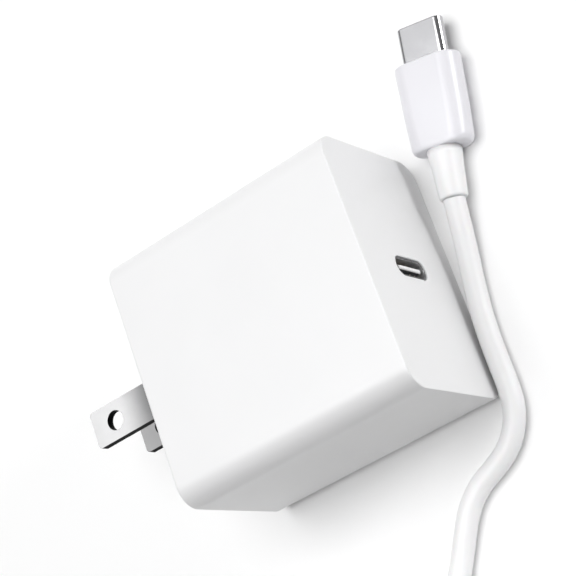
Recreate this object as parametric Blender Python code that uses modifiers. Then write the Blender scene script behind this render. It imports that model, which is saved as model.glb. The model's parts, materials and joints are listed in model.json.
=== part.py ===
"""USB-C wall power adapter with folding mains blades, and its free USB-C cable.

Frame: metres, +Z up. The adapter lies on its large back face, whose centre is the origin.
+X points out of the charging port, and the mains blades stand out along -X.
"""

import math

import bmesh
import bpy
from mathutils import Vector

MM = 0.001
GAP = 0.2 * MM

# Case
CASE_LENGTH = 44.0 * MM
CASE_WIDTH = 42.5 * MM
CASE_HEIGHT = 29.0 * MM
CASE_FILLET = 3.8 * MM
WALL = 2.0 * MM
FRONT_X = CASE_LENGTH / 2
REAR_X = -CASE_LENGTH / 2
SIDE_Y = CASE_WIDTH / 2
MID_Z = CASE_HEIGHT / 2
CAVITY_Y = SIDE_Y - WALL
CAVITY_RADIUS = 1.8 * MM

# Mains blades, two-pole flat pattern
BLADE_SPACING = 12.7 * MM
BLADE_WIDTH = 6.35 * MM
BLADE_THICKNESS = 1.5 * MM
BLADE_EXPOSED = 16.85 * MM
BLADE_ROOT = 3.7 * MM
BLADE_HOLE_RADIUS = 1.65 * MM
BLADE_HOLE_FROM_FACE = 12.16 * MM
BLADE_TIP_CHAMFER = 1.0 * MM

# Folding mechanism
PIVOT_X = REAR_X + 2.4 * MM
PIVOT_Y = 1.5 * MM
BARREL_RADIUS = 2.3 * MM
ROTOR_HALF_LENGTH = 8.0 * MM
ROTOR_LOW_Y = -3.9 * MM
ROTOR_BACK_X = PIVOT_X + 2.0 * MM
POCKET_RADIUS = 6.1 * MM
POCKET_TOP_Y = 4.1 * MM
POCKET_HALF_LENGTH = ROTOR_HALF_LENGTH + 0.3 * MM
TUB_WALL = 1.2 * MM
SLOT_WIDTH = 2.1 * MM
SLOT_END_Y = -18.3 * MM
SLOT_DEPTH_X = REAR_X + 7.6 * MM
PIN_RADIUS = 0.9 * MM
PIN_BORE_RADIUS = 1.05 * MM
PIN_END = POCKET_HALF_LENGTH + TUB_WALL + 0.8 * MM
LEAF_THICKNESS = 0.3 * MM
LEAF_LENGTH = 5.6 * MM
SCOOP_RADIUS = 9.0 * MM
SCOOP_DEPTH = 1.2 * MM
SCOOP_Y = -13.5 * MM

# Charging port: its wide way runs along Z
PORT_WIDE = 8.94 * MM
PORT_THIN = 3.16 * MM
PORT_WALL = 0.25 * MM
PORT_DEPTH = 7.6 * MM
PORT_RECESS = 0.2 * MM
PORT_SLOT_CLEARANCE = 0.3 * MM
TONGUE_WIDE = 6.69 * MM
TONGUE_THIN = 0.7 * MM
TONGUE_LENGTH = 5.5 * MM
TONGUE_BASE = 2.0 * MM

# Boards
BOARD_LOW = (-11.8 * MM, -18.8 * MM, 3.6 * MM)
BOARD_HIGH = (19.3 * MM, 18.8 * MM, 4.6 * MM)
PARTS_Z = BOARD_HIGH[2] + GAP

# Cable and its plugs
CABLE_RADIUS = 1.8 * MM
CABLE_GAP = 0.3 * MM
PLUG_WIDE = 8.25 * MM
PLUG_THIN = 2.4 * MM
PLUG_WALL = 0.3 * MM
PLUG_LENGTH = 6.65 * MM
PLUG_ROOT = 1.2 * MM
PLUG_BLOCK_LENGTH = 5.6 * MM
PLUG_BLOCK_SET_BACK = 0.4 * MM
PLUG_SLOT_DEPTH = 5.2 * MM
GRIP_WIDE = 11.6 * MM
GRIP_THIN = 6.0 * MM
GRIP_LENGTH = 15.2 * MM
RELIEF_LENGTH = 8.4 * MM
RELIEF_RADIUS_GRIP = 2.95 * MM
RELIEF_RADIUS_CABLE = 2.35 * MM
PLUG_A_END = (28.15 * MM, 11.0 * MM, 3.05 * MM)
PLUG_A_HEADING = math.radians(78.5)

# Free stretch of the cable on the surface, from the first plug to the coil
ROUTE = [
    (28.15, 11.0, 3.05),
    (27.35, 7.1, 2.6),
    (26.4, 2.6, 2.05),
    (25.4, -2.4, 1.8),
    (24.6, -8.0, 1.8),
    (24.25, -13.8, 1.8),
    (24.15, -20.3, 1.8),
    (23.61, -23.7, 1.8),
    (22.05, -26.77, 1.8),
    (19.62, -29.2, 1.8),
    (16.55, -30.76, 1.8),
    (13.6, -32.12, 1.8),
    (11.03, -34.12, 1.8),
    (9.0, -36.66, 1.8),
    (5.82, -41.75, 1.8),
    (3.13, -45.52, 1.8),
    (0.0, -48.94, 1.8),
    (-3.53, -51.96, 1.8),
    (-7.4, -54.52, 1.8),
]

# Coil: three turns side by side, four layers high
COIL_CENTRE = (5.1 * MM, -76.17 * MM)
COIL_INNER = 16.0 * MM
COIL_OUTER = COIL_INNER + 3 * 2 * CABLE_RADIUS
COIL_HEIGHT = 4 * 2 * CABLE_RADIUS

# Second plug, laid on the coil
PLUG_B_END = (-8.9 * MM, -63.37 * MM, 17.7 * MM)
PLUG_B_HEADING = math.radians(270.0)

# Tail from the coil's top turns to the second plug
TAIL = [
    (5.97, -51.19, 16.5),
    (1.27, -51.44, 16.5),
    (-2.93, -52.94, 16.6),
    (-6.73, -56.44, 16.97),
    (-8.53, -60.24, 17.5),
    (-8.9, -62.97, 17.7),
]

# Strap that ties the coil
TIE_ANGLE = math.radians(330.0)
TIE_WIDTH = 8.0 * MM
TIE_THICKNESS = 1.2 * MM
TIE_LOW = 0.4 * MM
TIE_HIGH = COIL_HEIGHT + 3.2 * MM
TIE_SIDE = 1.1 * MM
TIE_CORNER = 2.0 * MM


def clear_scene():
    for obj in list(bpy.data.objects):
        bpy.data.objects.remove(obj, do_unlink=True)


def new_collection(name):
    collection = bpy.data.collections.new(name)
    bpy.context.scene.collection.children.link(collection)
    return collection


def make_material(name, colour, roughness, metallic=0.0):
    found = bpy.data.materials.get(name)
    if found:
        return found
    material = bpy.data.materials.new(name)
    material.use_nodes = True
    shader = material.node_tree.nodes["Principled BSDF"]
    shader.inputs["Base Color"].default_value = (*colour, 1.0)
    shader.inputs["Roughness"].default_value = roughness
    shader.inputs["Metallic"].default_value = metallic
    return material


def add_object(name, bm, place, finish=None, smooth=False):
    """Turns a bmesh into an object at a place; without a finish it is a cutter."""
    mesh = bpy.data.meshes.new(name)
    bm.to_mesh(mesh)
    bm.free()
    obj = bpy.data.objects.new(name, mesh)
    obj.location = place
    if smooth:
        mesh.shade_smooth()
        mesh.set_sharp_from_angle(angle=math.radians(35.0))
    store(obj, finish)
    return obj


def store(obj, finish):
    if finish:
        kept_parts.objects.link(obj)
        own = make_material(obj.name, *finish)
        obj.data.materials.append(own)
    else:
        cutting_tools.objects.link(obj)
        obj.hide_render = True
        obj.display_type = "WIRE"


def bar(size, radius=0.0, axis=0, segments=4):
    """A centred box, with the four edges along one axis rounded."""
    bm = bmesh.new()
    bmesh.ops.create_cube(bm, size=1.0)
    bmesh.ops.scale(bm, vec=size, verts=bm.verts)
    if radius > 0.0:
        along = []
        for edge in bm.edges:
            way = edge.verts[0].co - edge.verts[1].co
            if abs(way[axis]) > 0.9 * size[axis]:
                along.append(edge)
        bmesh.ops.bevel(
            bm, geom=along, offset=radius, offset_type="OFFSET",
            segments=segments, profile=0.5, affect="EDGES",
        )
    return bm


def block(name, low, high, finish=None, radius=0.0, axis=2, segments=3):
    """A box between two corners, with its edges along one axis rounded."""
    size = [high[i] - low[i] for i in range(3)]
    middle = [(high[i] + low[i]) / 2 for i in range(3)]
    return add_object(name, bar(size, radius, axis, segments), middle, finish, radius > 0.0)


def cylinder(name, radius, length, middle, finish=None, axis=2, sides=24, end_radius=None):
    """A cylinder or cone along one axis; end_radius is the one at the high end."""
    bm = bmesh.new()
    top = radius if end_radius is None else end_radius
    bmesh.ops.create_cone(
        bm, cap_ends=True, segments=sides, radius1=radius, radius2=top, depth=length,
    )
    obj = add_object(name, bm, middle, finish, True)
    if axis == 0:
        obj.rotation_euler = (0.0, math.pi / 2, 0.0)
    if axis == 1:
        obj.rotation_euler = (-math.pi / 2, 0.0, 0.0)
    return obj


def turned(name, profile, middle, finish=None, steps=28):
    """A closed profile of (radius, height) turned about Z, listed down its outer side."""
    bm = bmesh.new()
    corners = [bm.verts.new((radius, 0.0, height)) for radius, height in profile]
    for i, corner in enumerate(corners):
        bm.edges.new((corner, corners[(i + 1) % len(corners)]))
    obj = add_object(name, bm, middle, finish)
    screw = obj.modifiers.new("Turn", "SCREW")
    screw.angle = math.tau
    screw.steps = steps
    screw.render_steps = steps
    screw.use_merge_vertices = True
    screw.merge_threshold = 0.01 * MM
    screw.use_smooth_shade = True
    return obj


def turned_ring(name, inner, outer, low, high, middle, finish=None, steps=28):
    profile = [(outer, high), (outer, low), (inner, low), (inner, high)]
    return turned(name, profile, middle, finish, steps)


def boolean(target, other, operation="DIFFERENCE"):
    step = target.modifiers.new(other.name, "BOOLEAN")
    step.operation = operation
    step.solver = "EXACT"
    step.object = other
    return target


def tube(name, points, radius, finish, resolution=2):
    """A round wire or cord along points, with flat filled ends."""
    curve = bpy.data.curves.new(name, "CURVE")
    curve.dimensions = "3D"
    curve.bevel_depth = radius
    curve.bevel_resolution = resolution
    curve.use_fill_caps = True
    spline = curve.splines.new("POLY")
    spline.points.add(len(points) - 1)
    for point, place in zip(spline.points, points):
        point.co = (*place, 1.0)
    obj = bpy.data.objects.new(name, curve)
    store(obj, finish)
    return obj


def strip(name, outline, depth, place, rotation, finish):
    """A flat outline filled and extruded to a depth, centred on its plane."""
    curve = bpy.data.curves.new(name, "CURVE")
    curve.dimensions = "2D"
    curve.fill_mode = "BOTH"
    curve.extrude = depth / 2
    spline = curve.splines.new("POLY")
    spline.points.add(len(outline) - 1)
    for point, (across, along) in zip(spline.points, outline):
        point.co = (across, along, 0.0, 1.0)
    spline.use_cyclic_u = True
    obj = bpy.data.objects.new(name, curve)
    obj.location = place
    obj.rotation_euler = rotation
    store(obj, finish)
    return obj


def ribbon(centre_line, thickness):
    """The outline of a thin strip that follows a line of (across, along) points."""
    points = [Vector(point) for point in centre_line]
    left = []
    right = []
    for i, point in enumerate(points):
        before = points[max(i - 1, 0)]
        after = points[min(i + 1, len(points) - 1)]
        way = (after - before).normalized()
        side = Vector((-way.y, way.x)) * thickness / 2
        left.append(tuple(point + side))
        right.append(tuple(point - side))
    return left + right[::-1]


def smooth_path(points, spacing):
    """Evenly spaced points on a smooth curve through the given ones."""
    knots = [Vector(point) for point in points]
    knots = [2 * knots[0] - knots[1], *knots, 2 * knots[-1] - knots[-2]]
    fine = []
    for i in range(1, len(knots) - 2):
        before, start, end, after = knots[i - 1:i + 3]
        for step in range(24):
            t = step / 24
            fine.append(0.5 * (
                2 * start + (end - before) * t
                + (2 * before - 5 * start + 4 * end - after) * t ** 2
                + (3 * start - 3 * end + after - before) * t ** 3
            ))
    fine.append(knots[-2])
    return even_points(fine, spacing)


def even_points(fine, spacing):
    lengths = [(b - a).length for a, b in zip(fine, fine[1:])]
    count = max(2, round(sum(lengths) / spacing))
    wanted = [sum(lengths) * i / count for i in range(count + 1)]
    found = [fine[0]]
    walked = 0.0
    piece = 0
    for mark in wanted[1:-1]:
        while walked + lengths[piece] < mark:
            walked += lengths[piece]
            piece += 1
        found.append(fine[piece].lerp(fine[piece + 1], (mark - walked) / lengths[piece]))
    found.append(fine[-1])
    return found


WHITE = ((0.93, 0.93, 0.935), 0.32)
PALE = ((0.88, 0.88, 0.89), 0.4)
NICKEL = ((0.78, 0.77, 0.75), 0.22, 1.0)
STEEL = ((0.66, 0.66, 0.67), 0.25, 1.0)
BRONZE = ((0.72, 0.5, 0.28), 0.35, 1.0)
COPPER = ((0.72, 0.36, 0.16), 0.4, 1.0)
ALUMINIUM = ((0.8, 0.8, 0.82), 0.35, 1.0)
BOARD_GREEN = ((0.02, 0.16, 0.07), 0.45)
BLACK = ((0.03, 0.03, 0.035), 0.5)
FERRITE = ((0.08, 0.08, 0.085), 0.7)
YELLOW = ((0.85, 0.68, 0.12), 0.45)
BLUE = ((0.05, 0.2, 0.6), 0.4)
AMBER = ((0.7, 0.42, 0.1), 0.4)
TONGUE_GREY = ((0.6, 0.6, 0.62), 0.45)
WIRE_WHITE = ((0.85, 0.85, 0.84), 0.5)
WIRE_BLACK = ((0.05, 0.05, 0.05), 0.5)
STRAP_GREY = ((0.78, 0.78, 0.79), 0.6)


def make_housing():
    shell = block(
        "housing_shell", (REAR_X, -SIDE_Y, 0.0), (FRONT_X, SIDE_Y, CASE_HEIGHT),
        WHITE, CASE_FILLET, 0, 7,
    )
    cavity = block(
        "cavity", (REAR_X - MM, -CAVITY_Y, WALL), (FRONT_X - WALL, CAVITY_Y, CASE_HEIGHT - WALL),
        None, CAVITY_RADIUS, 0, 3,
    )
    boolean(shell, cavity)
    wide = PORT_WIDE + PORT_SLOT_CLEARANCE
    thin = PORT_THIN + PORT_SLOT_CLEARANCE
    slot = block(
        "port_slot", (FRONT_X - WALL - MM, -thin / 2, MID_Z - wide / 2),
        (FRONT_X + MM, thin / 2, MID_Z + wide / 2), None, 0.49 * thin, 0, 5,
    )
    return boolean(shell, slot)


def make_rear_cover():
    """The prong face: a plate with a pocket for the rotor and a slot for each folded blade."""
    plate_y = CAVITY_Y - GAP
    cover = block(
        "rear_cover", (REAR_X, -plate_y, WALL + GAP),
        (REAR_X + WALL, plate_y, CASE_HEIGHT - WALL - GAP), WHITE, CAVITY_RADIUS - GAP, 0, 3,
    )
    tub_half = POCKET_HALF_LENGTH + TUB_WALL
    tub_low_y = PIVOT_Y - POCKET_RADIUS - TUB_WALL
    tub = block(
        "rotor_tub", (REAR_X + MM, tub_low_y, MID_Z - tub_half),
        (PIVOT_X + POCKET_RADIUS + TUB_WALL, POCKET_TOP_Y + TUB_WALL, MID_Z + tub_half),
    )
    boolean(cover, tub, "UNION")
    for side, sign in (("line", -1), ("neutral", 1)):
        z = MID_Z + sign * BLADE_SPACING / 2
        half = SLOT_WIDTH / 2 + 0.8 * MM
        channel = block(
            "channel_" + side, (REAR_X + MM, -plate_y + 0.05 * MM, z - half),
            (SLOT_DEPTH_X + TUB_WALL, tub_low_y + MM, z + half),
        )
        boolean(cover, channel, "UNION")
    boolean(cover, make_pocket())
    for side, sign in (("line", -1), ("neutral", 1)):
        z = MID_Z + sign * BLADE_SPACING / 2
        slot = block(
            "blade_slot_" + side, (REAR_X - MM, SLOT_END_Y, z - SLOT_WIDTH / 2),
            (SLOT_DEPTH_X, PIVOT_Y, z + SLOT_WIDTH / 2),
        )
        boolean(cover, slot)
        bore = cylinder(
            "pin_bore_" + side, PIN_BORE_RADIUS, 3.0 * MM,
            (PIVOT_X, PIVOT_Y, MID_Z + sign * (POCKET_HALF_LENGTH + TUB_WALL / 2)),
        )
        boolean(cover, bore)
    scoop = cylinder(
        "finger_scoop", SCOOP_RADIUS, 18.0 * MM,
        (REAR_X - SCOOP_RADIUS + SCOOP_DEPTH, SCOOP_Y, MID_Z), None, 2, 40,
    )
    boolean(cover, scoop)
    window = block(
        "detent_window", (PIVOT_X - 1.2 * MM, POCKET_TOP_Y - MM, MID_Z - 2.6 * MM),
        (PIVOT_X + 3.6 * MM, POCKET_TOP_Y + TUB_WALL + MM, MID_Z + 2.6 * MM),
    )
    return boolean(cover, window)


def make_pocket():
    """The room that the rotor sweeps: a cylinder about the pivot with its top cut flat."""
    bm = bmesh.new()
    bmesh.ops.create_cone(
        bm, cap_ends=True, segments=48, radius1=POCKET_RADIUS, radius2=POCKET_RADIUS,
        depth=2 * POCKET_HALF_LENGTH,
    )
    everything = bm.verts[:] + bm.edges[:] + bm.faces[:]
    cut = bmesh.ops.bisect_plane(
        bm, geom=everything, plane_co=(0.0, POCKET_TOP_Y - PIVOT_Y, 0.0),
        plane_no=(0.0, 1.0, 0.0), clear_outer=True,
    )
    rim = [item for item in cut["geom_cut"] if isinstance(item, bmesh.types.BMEdge)]
    bmesh.ops.holes_fill(bm, edges=rim, sides=0)
    bmesh.ops.recalc_face_normals(bm, faces=bm.faces)
    return add_object("rotor_pocket", bm, (PIVOT_X, PIVOT_Y, MID_Z))


def make_prongs():
    """The turning group: rotor, blades and pivot pins, held by an empty on the fold axis."""
    axis = bpy.data.objects.new("prong_fold_axis", None)
    axis.location = (PIVOT_X, PIVOT_Y, MID_Z)
    kept_parts.objects.link(axis)
    pieces = [make_rotor()]
    for side, sign in (("line", -1), ("neutral", 1)):
        pieces.append(make_blade("blade_" + side, MID_Z + sign * BLADE_SPACING / 2))
        blade_face = BLADE_SPACING / 2 + BLADE_THICKNESS / 2 + GAP
        pieces.append(cylinder(
            "pivot_pin_" + side, PIN_RADIUS, PIN_END - blade_face,
            (PIVOT_X, PIVOT_Y, MID_Z + sign * (PIN_END + blade_face) / 2), NICKEL,
        ))
    for piece in pieces:
        piece.location -= axis.location
        piece.parent = axis


def make_rotor():
    rotor = block(
        "prong_rotor", (REAR_X + 0.1 * MM, ROTOR_LOW_Y, MID_Z - ROTOR_HALF_LENGTH),
        (ROTOR_BACK_X, PIVOT_Y, MID_Z + ROTOR_HALF_LENGTH), WHITE,
    )
    barrel = cylinder(
        "rotor_barrel", BARREL_RADIUS, 2 * ROTOR_HALF_LENGTH,
        (PIVOT_X, PIVOT_Y, MID_Z), None, 2, 32,
    )
    boolean(rotor, barrel, "UNION")
    for side, sign in (("line", -1), ("neutral", 1)):
        z = MID_Z + sign * BLADE_SPACING / 2
        half = BLADE_THICKNESS / 2 + GAP
        seat = block(
            "blade_seat_" + side, (REAR_X - MM, -BLADE_WIDTH / 2 - GAP, z - half),
            (REAR_X + BLADE_ROOT + GAP, BLADE_WIDTH / 2 + GAP, z + half),
        )
        boolean(rotor, seat)
        bore = cylinder(
            "rotor_bore_" + side, PIN_BORE_RADIUS, 2.4 * MM,
            (PIVOT_X, PIVOT_Y, MID_Z + sign * (ROTOR_HALF_LENGTH + 0.3 * MM)),
        )
        boolean(rotor, bore)
    return rotor


def make_blade(name, z):
    length = BLADE_EXPOSED + BLADE_ROOT
    bm = bar((length, BLADE_WIDTH, BLADE_THICKNESS))
    tip = [
        edge for edge in bm.edges
        if max(vert.co.x for vert in edge.verts) < 0.0
        and abs(edge.verts[0].co.z - edge.verts[1].co.z) > BLADE_THICKNESS / 2
    ]
    bmesh.ops.bevel(
        bm, geom=tip, offset=BLADE_TIP_CHAMFER, offset_type="OFFSET",
        segments=2, profile=0.5, affect="EDGES",
    )
    middle_x = REAR_X + BLADE_ROOT - length / 2
    blade = add_object(name, bm, (middle_x, 0.0, z), NICKEL)
    hole = cylinder(
        name + "_hole", BLADE_HOLE_RADIUS, 4 * BLADE_THICKNESS,
        (REAR_X - BLADE_HOLE_FROM_FACE, 0.0, z),
    )
    return boolean(blade, hole)


def make_contacts():
    """Bronze leaves on the pivot pins' ends, the wires from them, and the detent leaf."""
    leaf_middle = PIN_END + GAP + LEAF_THICKNESS / 2
    for side, sign in (("line", -1), ("neutral", 1)):
        block(
            "contact_spring_" + side,
            (PIVOT_X - 0.1 * MM, PIVOT_Y - 1.5 * MM,
             MID_Z + sign * leaf_middle - LEAF_THICKNESS / 2),
            (PIVOT_X + LEAF_LENGTH, PIVOT_Y + 1.5 * MM,
             MID_Z + sign * leaf_middle + LEAF_THICKNESS / 2),
            BRONZE, 0.6 * MM, 2, 2,
        )
    leaf_end = PIVOT_X + LEAF_LENGTH + GAP
    tube("lead_line", [
        (leaf_end, PIVOT_Y, MID_Z - leaf_middle),
        (leaf_end + 0.8 * MM, PIVOT_Y, MID_Z - leaf_middle + 0.05 * MM),
        (BOARD_LOW[0] - GAP, PIVOT_Y, MID_Z - leaf_middle + 0.3 * MM),
    ], 0.5 * MM, WIRE_BLACK)
    neutral = [
        (leaf_end + GAP, PIVOT_Y, MID_Z + leaf_middle),
        (leaf_end + 0.9 * MM, PIVOT_Y + 2.0 * MM, MID_Z + leaf_middle),
        (leaf_end + 0.9 * MM, PIVOT_Y + 5.5 * MM, MID_Z + leaf_middle - 1.5 * MM),
        (leaf_end + 0.9 * MM, PIVOT_Y + 7.6 * MM, MID_Z + 6.0 * MM),
        (leaf_end + 0.9 * MM, PIVOT_Y + 7.8 * MM, MID_Z - 4.0 * MM),
        (BOARD_LOW[0] - 0.8 * MM, PIVOT_Y + 7.6 * MM, BOARD_HIGH[2] + 0.6 * MM),
    ]
    tube("lead_neutral", smooth_path(neutral, 1.6 * MM), 0.5 * MM, WIRE_WHITE)
    line = [
        (PIVOT_X - 1.0 * MM, POCKET_TOP_Y + 0.9 * MM),
        (PIVOT_X - 0.4 * MM, POCKET_TOP_Y + 0.25 * MM),
        (PIVOT_X + 0.4 * MM, POCKET_TOP_Y + 0.25 * MM),
        (PIVOT_X + 1.4 * MM, POCKET_TOP_Y + 1.1 * MM),
        (PIVOT_X + 3.2 * MM, POCKET_TOP_Y + TUB_WALL + 0.35 * MM),
        (PIVOT_X + 6.4 * MM, POCKET_TOP_Y + TUB_WALL + 0.35 * MM),
    ]
    strip("detent_spring", ribbon(line, LEAF_THICKNESS), 4.4 * MM, (0.0, 0.0, MID_Z),
          (0.0, 0.0, 0.0), STEEL)


def make_port():
    """The receptacle: a folded steel shell round a moulded tongue, on an upright board."""
    front = FRONT_X - PORT_RECESS
    shell = block(
        "port_shell", (front - PORT_DEPTH, -PORT_THIN / 2, MID_Z - PORT_WIDE / 2),
        (front, PORT_THIN / 2, MID_Z + PORT_WIDE / 2), STEEL, 0.49 * PORT_THIN, 0, 5,
    )
    thin = PORT_THIN / 2 - PORT_WALL
    wide = PORT_WIDE / 2 - PORT_WALL
    mouth = block(
        "port_mouth", (front - PORT_DEPTH - MM, -thin, MID_Z - wide),
        (front + MM, thin, MID_Z + wide), None, 0.98 * thin, 0, 5,
    )
    boolean(shell, mouth)
    back = front - PORT_DEPTH
    base_wide = wide - GAP
    base_thin = thin - GAP
    tongue = block(
        "port_tongue", (back, -base_thin, MID_Z - base_wide),
        (back + TONGUE_BASE, base_thin, MID_Z + base_wide), TONGUE_GREY, 0.98 * base_thin, 0, 3,
    )
    blade = block(
        "tongue_blade", (back + TONGUE_BASE - MM, -TONGUE_THIN / 2, MID_Z - TONGUE_WIDE / 2),
        (back + TONGUE_BASE + TONGUE_LENGTH, TONGUE_THIN / 2, MID_Z + TONGUE_WIDE / 2),
    )
    boolean(tongue, blade, "UNION")
    board_y = -PORT_THIN / 2 - 2 * GAP
    block("port_board", (9.0 * MM, board_y - 0.8 * MM, 5.0 * MM),
          (19.2 * MM, board_y, 24.0 * MM), BOARD_GREEN)
    block("power_controller_chip", (10.2 * MM, board_y - 2.0 * MM, 12.4 * MM),
          (14.4 * MM, board_y - 0.8 * MM - GAP, 16.6 * MM), BLACK)


def make_boards():
    block("insulation_sheet", (BOARD_LOW[0], BOARD_LOW[1] + MM, WALL + 0.4 * MM),
          (BOARD_HIGH[0], BOARD_HIGH[1] - MM, WALL + 0.7 * MM), AMBER)
    block("main_board", BOARD_LOW, BOARD_HIGH, BOARD_GREEN)
    block("heat_spreader", (-10.5 * MM, -17.0 * MM, 25.6 * MM),
          (19.0 * MM, 17.0 * MM, 26.3 * MM), ALUMINIUM, 1.0 * MM)


def can(name, radius, height, x, y, finish):
    """An electrolytic capacitor: a can with a rolled groove near its foot."""
    groove = 0.06 * radius
    profile = [
        (radius * 0.9, height), (radius, height * 0.97), (radius, height * 0.16),
        (radius - 2 * groove, height * 0.12), (radius, height * 0.08),
        (radius, 0.0), (0.0, 0.0), (0.0, height),
    ]
    return turned(name, profile, (x, y, PARTS_Z), finish, 20)


def make_filter_parts():
    """The mains side: fuse, surge disc, film capacitor, choke, rectifier and bulk cans."""
    cylinder("fuse", 1.5 * MM, 7.0 * MM, (-8.0 * MM, 7.3 * MM, PARTS_Z + 1.6 * MM), BLACK, 0, 16)
    cylinder("surge_varistor", 3.6 * MM, 2.6 * MM, (1.5 * MM, 6.7 * MM, PARTS_Z + 3.8 * MM),
             BLUE, 1, 20)
    block("filter_capacitor", (-11.2 * MM, -17.5 * MM, PARTS_Z),
          (-5.7 * MM, -5.5 * MM, PARTS_Z + 11.0 * MM), YELLOW, 0.5 * MM, 2, 2)
    drum = [
        (4.4, 11.0), (4.4, 9.8), (2.2, 9.8), (2.2, 1.2), (4.4, 1.2), (4.4, 0.0), (0.0, 0.0),
        (0.0, 11.0),
    ]
    middle = (-7.1 * MM, 0.6 * MM, PARTS_Z)
    turned("choke_core", [(r * MM, z * MM) for r, z in drum], middle, FERRITE, 20)
    turned_ring("choke_winding", 2.5 * MM, 4.2 * MM, 1.5 * MM, 9.5 * MM, middle, COPPER, 20)
    block("bridge_rectifier", (-1.7 * MM, -2.6 * MM, PARTS_Z),
          (4.8 * MM, 3.9 * MM, PARTS_Z + 2.4 * MM), BLACK)
    can("bulk_capacitor_1", 4.2 * MM, 19.0 * MM, -6.5 * MM, 13.8 * MM, BLACK)
    can("bulk_capacitor_2", 4.2 * MM, 19.0 * MM, 2.5 * MM, 13.8 * MM, BLACK)


def make_transformer():
    middle = (2.0 * MM, -11.2 * MM, PARTS_Z)
    core = block("transformer_core", (middle[0] - 6.4 * MM, middle[1] - 4.5 * MM, PARTS_Z),
                 (middle[0] + 6.4 * MM, middle[1] + 4.5 * MM, PARTS_Z + 18.0 * MM), FERRITE)
    room = turned_ring("winding_room", 2.8 * MM, 5.7 * MM, 2.2 * MM, 15.8 * MM, middle)
    boolean(core, room)
    spool = [
        (5.5, 15.6), (5.5, 15.0), (3.6, 15.0), (3.6, 3.0), (5.5, 3.0), (5.5, 2.4), (3.0, 2.4),
        (3.0, 15.6),
    ]
    turned("transformer_bobbin", [(r * MM, z * MM) for r, z in spool], middle, BLACK, 24)
    turned_ring("transformer_winding", 3.8 * MM, 5.3 * MM, 3.2 * MM, 14.8 * MM, middle, YELLOW, 24)


def make_output_parts():
    """The low-voltage side, with the parts that carry signals across the isolation gap."""
    block("switching_chip", (8.0 * MM, 5.6 * MM, PARTS_Z),
          (13.0 * MM, 11.6 * MM, PARTS_Z + 0.9 * MM), BLACK)
    cylinder("safety_capacitor", 3.0 * MM, 2.6 * MM, (12.5 * MM, 15.0 * MM, PARTS_Z + 3.2 * MM),
             BLUE, 1, 20)
    block("optocoupler", (14.3 * MM, 5.4 * MM, PARTS_Z),
          (18.9 * MM, 11.8 * MM, PARTS_Z + 3.0 * MM), BLACK)
    block("output_transistor", (10.0 * MM, -0.6 * MM, PARTS_Z),
          (15.0 * MM, 4.4 * MM, PARTS_Z + 1.0 * MM), BLACK)
    can("output_capacitor_1", 3.1 * MM, 9.0 * MM, 14.6 * MM, -8.3 * MM, ALUMINIUM)
    can("output_capacitor_2", 3.1 * MM, 9.0 * MM, 14.6 * MM, -15.0 * MM, ALUMINIUM)


def make_plug(prefix, end, heading):
    """A cable plug along local +X from the strain relief's cable end."""
    holder = bpy.data.objects.new(prefix + "_axis", None)
    kept_parts.objects.link(holder)
    relief = cylinder(
        prefix + "_strain_relief", RELIEF_RADIUS_CABLE, RELIEF_LENGTH - GAP,
        ((RELIEF_LENGTH - GAP) / 2, 0.0, 0.0), PALE, 0, 24, RELIEF_RADIUS_GRIP,
    )
    grip = add_object(
        prefix + "_grip", bar((GRIP_LENGTH, GRIP_WIDE, GRIP_THIN), 0.49 * GRIP_THIN, 0, 6),
        (RELIEF_LENGTH + GRIP_LENGTH / 2, 0.0, 0.0), WHITE, True,
    )
    front = RELIEF_LENGTH + GRIP_LENGTH
    seat = add_object(
        prefix + "_seat",
        bar((2 * PLUG_ROOT, PLUG_WIDE + 2 * GAP, PLUG_THIN + 2 * GAP), 0.49 * PLUG_THIN, 0, 5),
        (front, 0.0, 0.0),
    )
    boolean(grip, seat)
    length = PLUG_LENGTH + PLUG_ROOT - GAP
    shell = add_object(
        prefix + "_shell", bar((length, PLUG_WIDE, PLUG_THIN), 0.49 * PLUG_THIN, 0, 5),
        (front + PLUG_LENGTH - length / 2, 0.0, 0.0), STEEL, True,
    )
    thin = PLUG_THIN - 2 * PLUG_WALL
    mouth = add_object(
        prefix + "_mouth", bar((length + 2 * MM, PLUG_WIDE - 2 * PLUG_WALL, thin), 0.49 * thin, 0, 4),
        (front + PLUG_LENGTH - length / 2, 0.0, 0.0),
    )
    boolean(shell, mouth)
    inner = (PLUG_BLOCK_LENGTH, PLUG_WIDE - 2 * PLUG_WALL - 2 * GAP, thin - 2 * GAP)
    contacts = add_object(
        prefix + "_contacts", bar(inner, 0.45 * inner[2], 0, 3),
        (front - PLUG_BLOCK_SET_BACK + PLUG_BLOCK_LENGTH / 2, 0.0, 0.0), BLACK,
    )
    slot = add_object(
        prefix + "_contact_slot",
        bar((PLUG_SLOT_DEPTH, TONGUE_WIDE - 0.2 * MM, TONGUE_THIN + 0.1 * MM)),
        (front + PLUG_BLOCK_LENGTH - PLUG_BLOCK_SET_BACK - 0.8 * MM, 0.0, 0.0),
    )
    boolean(contacts, slot)
    for piece in (relief, grip, seat, shell, mouth, contacts, slot):
        piece.parent = holder
    holder.location = end
    holder.rotation_euler = (0.0, 0.0, heading)


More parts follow.
